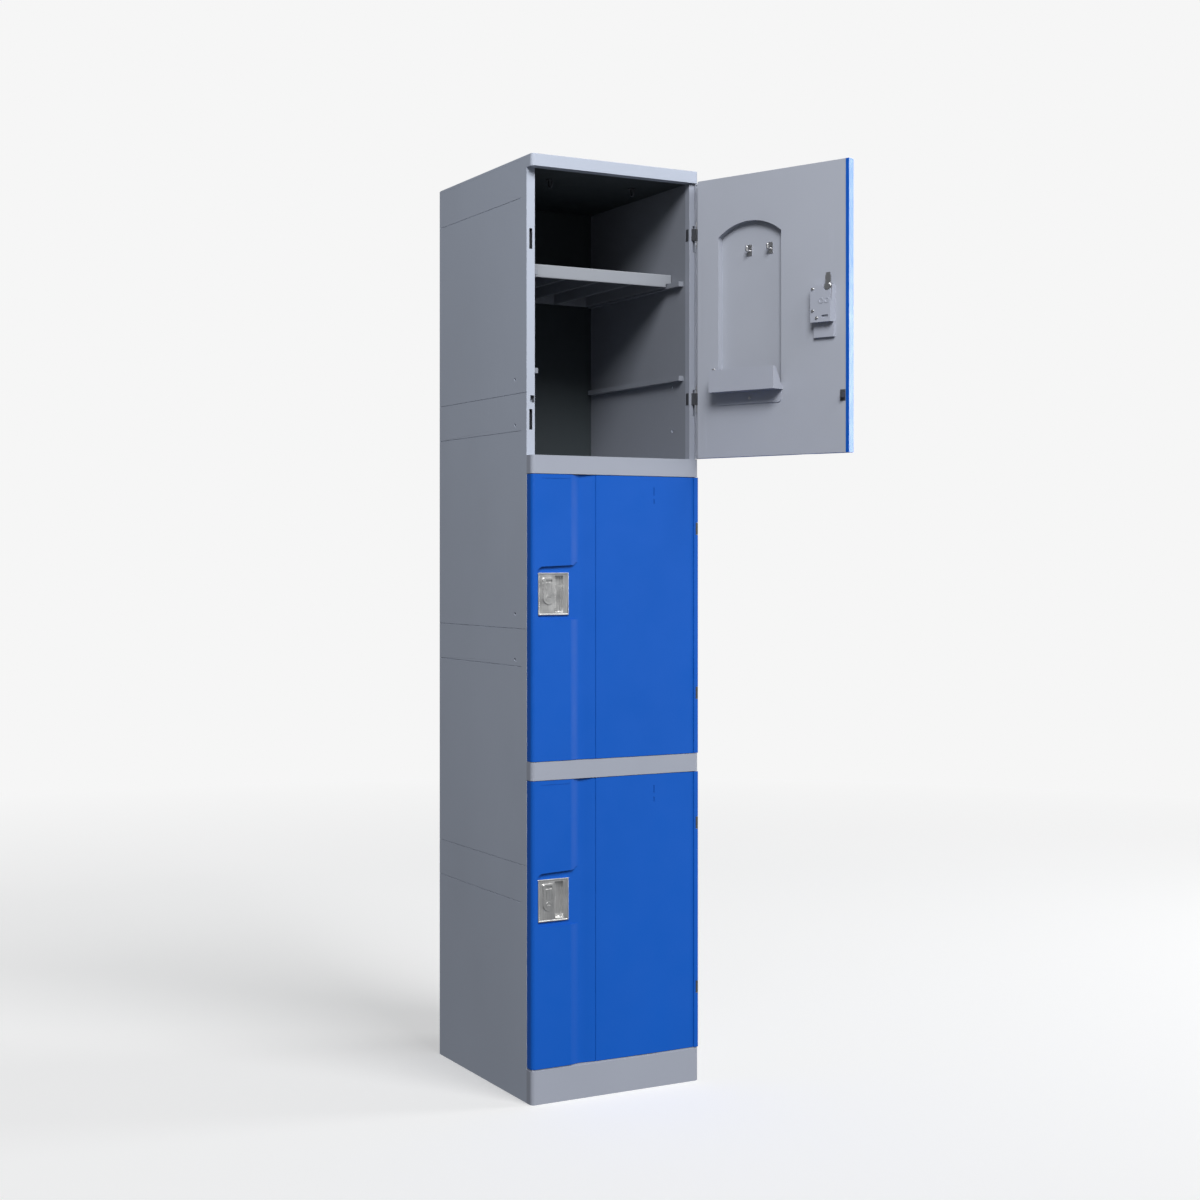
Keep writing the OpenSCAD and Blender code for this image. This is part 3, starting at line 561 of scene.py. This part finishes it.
class LOCKER_OT_locks(bpy.types.Operator):
    """Lock plates, levers, housings and turning bars"""
    bl_idname = "locker.locks"
    bl_label = "Locks"

    def execute(self, context):
        for tier in TIERS:
            worked_copy("lock_plate_" + tier, "lock_face_" + tier, "satin_metal", "fitting_edge")
            worked_copy("lock_lever_" + tier, "swivel_lever_" + tier, "satin_metal", "metal_edge")
            worked_copy("lock_housing_" + tier, "lock_box_" + tier, "fitting_grey", "door_edge")
            worked_copy("lock_bar_" + tier, "turning_bar_" + tier, "steel", "metal_edge", 2)
        return {"FINISHED"}


# ------------------------------------------------------------------ stage

FLOOR_RADIUS = 7.0
SWEEP = 2.0             # radius of the curve between floor and wall
WALL_TOP = 9.0
DOME_TOP = 11.0
FLOOR_STEPS = 96

# soft boxes: place, aim, width and height in metres, power in watts
FRONT_BOX = dict(place=(-1.9, -4.0, 4.6), aim=(0.0, -0.2, 1.2), width=2.2, height=2.2, power=330)
EDGE_BOX = dict(place=(4.6, -1.4, 1.6), aim=(0.325, -0.567, 1.545), width=1.4, height=3.0, power=600)
RIGHT_BOX = dict(place=(4.4, -1.5, 1.5), aim=(0.3, -0.5, 1.3), width=1.2, height=3.4, power=90)
SUN_TOWARDS = (-0.27, 0.96, -0.78)
SUN_POWER = 1.6
SUN_SPREAD = 34
SUN_TINT = (1.0, 0.995, 0.985)
FILL_TINT = (0.93, 0.96, 1.0, 1)
FILL_POWER = 0.20

CAMERA_PLACE = (-1.827, -3.489, 1.060)
CAMERA_TURN = (90, 0, -28.68)
CAMERA_LENS = 56.5
CAMERA_SENSOR = 36
CAMERA_SHIFT = -0.0336


def point_at(lamp, direction):
    lamp.rotation_euler = Vector(direction).to_track_quat("-Z", "Y").to_euler()


def soft_light(name, place, aim, width, height, power):
    data = bpy.data.lights.new(name, "AREA")
    data.shape = "RECTANGLE"
    data.size = width
    data.size_y = height
    data.energy = power
    lamp = bpy.data.objects.new(name, data)
    bpy.context.scene.collection.objects.link(lamp)
    lamp.location = place
    point_at(lamp, Vector(aim) - Vector(place))
    return lamp


def window_light():
    data = bpy.data.lights.new("window_light", "SUN")
    data.energy = SUN_POWER
    data.angle = math.radians(SUN_SPREAD)
    data.color = SUN_TINT
    lamp = bpy.data.objects.new("window_light", data)
    bpy.context.scene.collection.objects.link(lamp)
    point_at(lamp, SUN_TOWARDS)


def link_light(lamp, name, piece):
    """Makes a lamp light one piece only; the caller may turn that into all but this piece."""
    receivers = bpy.data.collections.new(name)
    receivers.objects.link(piece)
    lamp.light_linking.receiver_collection = receivers
    return receivers.collection_objects[0].light_linking


def world_fill(scene):
    world = bpy.data.worlds.new("studio_fill")
    scene.world = world
    world.use_nodes = True
    fill = world.node_tree.nodes["Background"]
    fill.inputs["Color"].default_value = FILL_TINT
    fill.inputs["Strength"].default_value = FILL_POWER


def studio_floor():
    """A round floor whose rim sweeps up into a wall, spun from its profile."""
    deselect()
    bpy.ops.mesh.primitive_plane_add(size=1, location=(0, 0, 0))
    floor = bpy.context.object
    floor.name = "studio_floor"
    bpy.ops.object.mode_set(mode="EDIT")
    bpy.ops.mesh.select_all(action="SELECT")
    bpy.ops.mesh.merge(type="CENTER")
    turns = [math.radians(degrees) for degrees in range(10, 91, 10)]
    sweep = [(FLOOR_RADIUS + SWEEP * math.sin(turn), SWEEP - SWEEP * math.cos(turn)) for turn in turns]
    wall = [(FLOOR_RADIUS + SWEEP, WALL_TOP), (0.0, DOME_TOP)]
    x, z = 0.0, 0.0
    for next_x, next_z in [(FLOOR_RADIUS, 0.0)] + sweep + wall:
        step = (next_x - x, 0, next_z - z)
        bpy.ops.mesh.extrude_region_move(TRANSFORM_OT_translate={"value": step})
        x, z = next_x, next_z
    bpy.ops.mesh.select_all(action="SELECT")
    bpy.ops.mesh.spin(steps=FLOOR_STEPS, angle=math.tau, center=(0, 0, 0), axis=(0, 0, 1))
    bpy.ops.mesh.select_all(action="SELECT")
    bpy.ops.mesh.remove_doubles(threshold=0.0005)
    bpy.ops.mesh.normals_make_consistent(inside=True)
    activate(floor)
    bpy.ops.object.shade_smooth()
    floor.data.materials.append(studio_paper("studio_paper", colour("floor")))
    floor.visible_diffuse = False
    floor.visible_shadow = False
    floor.visible_glossy = False
    return floor


def place_camera(scene):
    data = bpy.data.cameras.new("camera")
    camera = bpy.data.objects.new("camera", data)
    scene.collection.objects.link(camera)
    camera.location = CAMERA_PLACE
    camera.rotation_euler = [math.radians(degrees) for degrees in CAMERA_TURN]
    data.lens = CAMERA_LENS
    data.sensor_width = CAMERA_SENSOR
    data.shift_y = CAMERA_SHIFT
    data.clip_start = 0.05
    data.clip_end = 60
    scene.camera = camera


class LOCKER_OT_stage(bpy.types.Operator):
    """Floor, lights and camera; it comes last, because one lamp lights one door only"""
    bl_idname = "locker.stage"
    bl_label = "Stage"

    def execute(self, context):
        scene = context.scene
        scene.view_settings.view_transform = "Standard"
        world_fill(scene)
        floor = studio_floor()
        window_light()
        front = soft_light("front_softbox", **FRONT_BOX)
        link_light(front, "not_lit_by_front_softbox", floor).link_state = "EXCLUDE"
        edge = soft_light("door_edge_light", **EDGE_BOX)
        link_light(edge, "lit_by_door_edge_light", bpy.data.objects["door_shell_top"])
        soft_light("right_softbox", **RIGHT_BOX)
        place_camera(scene)
        return {"FINISHED"}


class LOCKER_PT_panel(bpy.types.Panel):
    """Lists what builds the cabinet"""
    bl_label = "Locker cabinet"
    bl_idname = "LOCKER_PT_panel"
    bl_space_type = "VIEW_3D"
    bl_region_type = "UI"
    bl_category = "Locker"

    def draw(self, context):
        column = self.layout.column(align=True)
        for step in STEPS:
            column.operator(step.bl_idname)
        for group in (context.scene.locker_sizes, context.scene.locker_colours):
            column.separator()
            for key in group.__annotations__:
                column.prop(group, key)


STEPS = (
    LOCKER_OT_sides,
    LOCKER_OT_backs,
    LOCKER_OT_base,
    LOCKER_OT_dividers,
    LOCKER_OT_cover,
    LOCKER_OT_shelves,
    LOCKER_OT_hinges,
    LOCKER_OT_carcass_fittings,
    LOCKER_OT_door_shells,
    LOCKER_OT_door_liners,
    LOCKER_OT_door_fittings,
    LOCKER_OT_locks,
    LOCKER_OT_stage,
)
CLASSES = (LockerColours, LockerSizes) + STEPS + (LOCKER_PT_panel,)


def register():
    for cls in CLASSES:
        bpy.utils.register_class(cls)
    bpy.types.Scene.locker_colours = bpy.props.PointerProperty(type=LockerColours)
    bpy.types.Scene.locker_sizes = bpy.props.PointerProperty(type=LockerSizes)


def unregister():
    del bpy.types.Scene.locker_sizes
    del bpy.types.Scene.locker_colours
    for cls in reversed(CLASSES):
        bpy.utils.unregister_class(cls)


def main():
    register()
    for step in STEPS:
        family, name = step.bl_idname.split(".")
        getattr(getattr(bpy.ops, family), name)()
    bpy.context.view_layer.update()


if __name__ == "__main__":
    main()
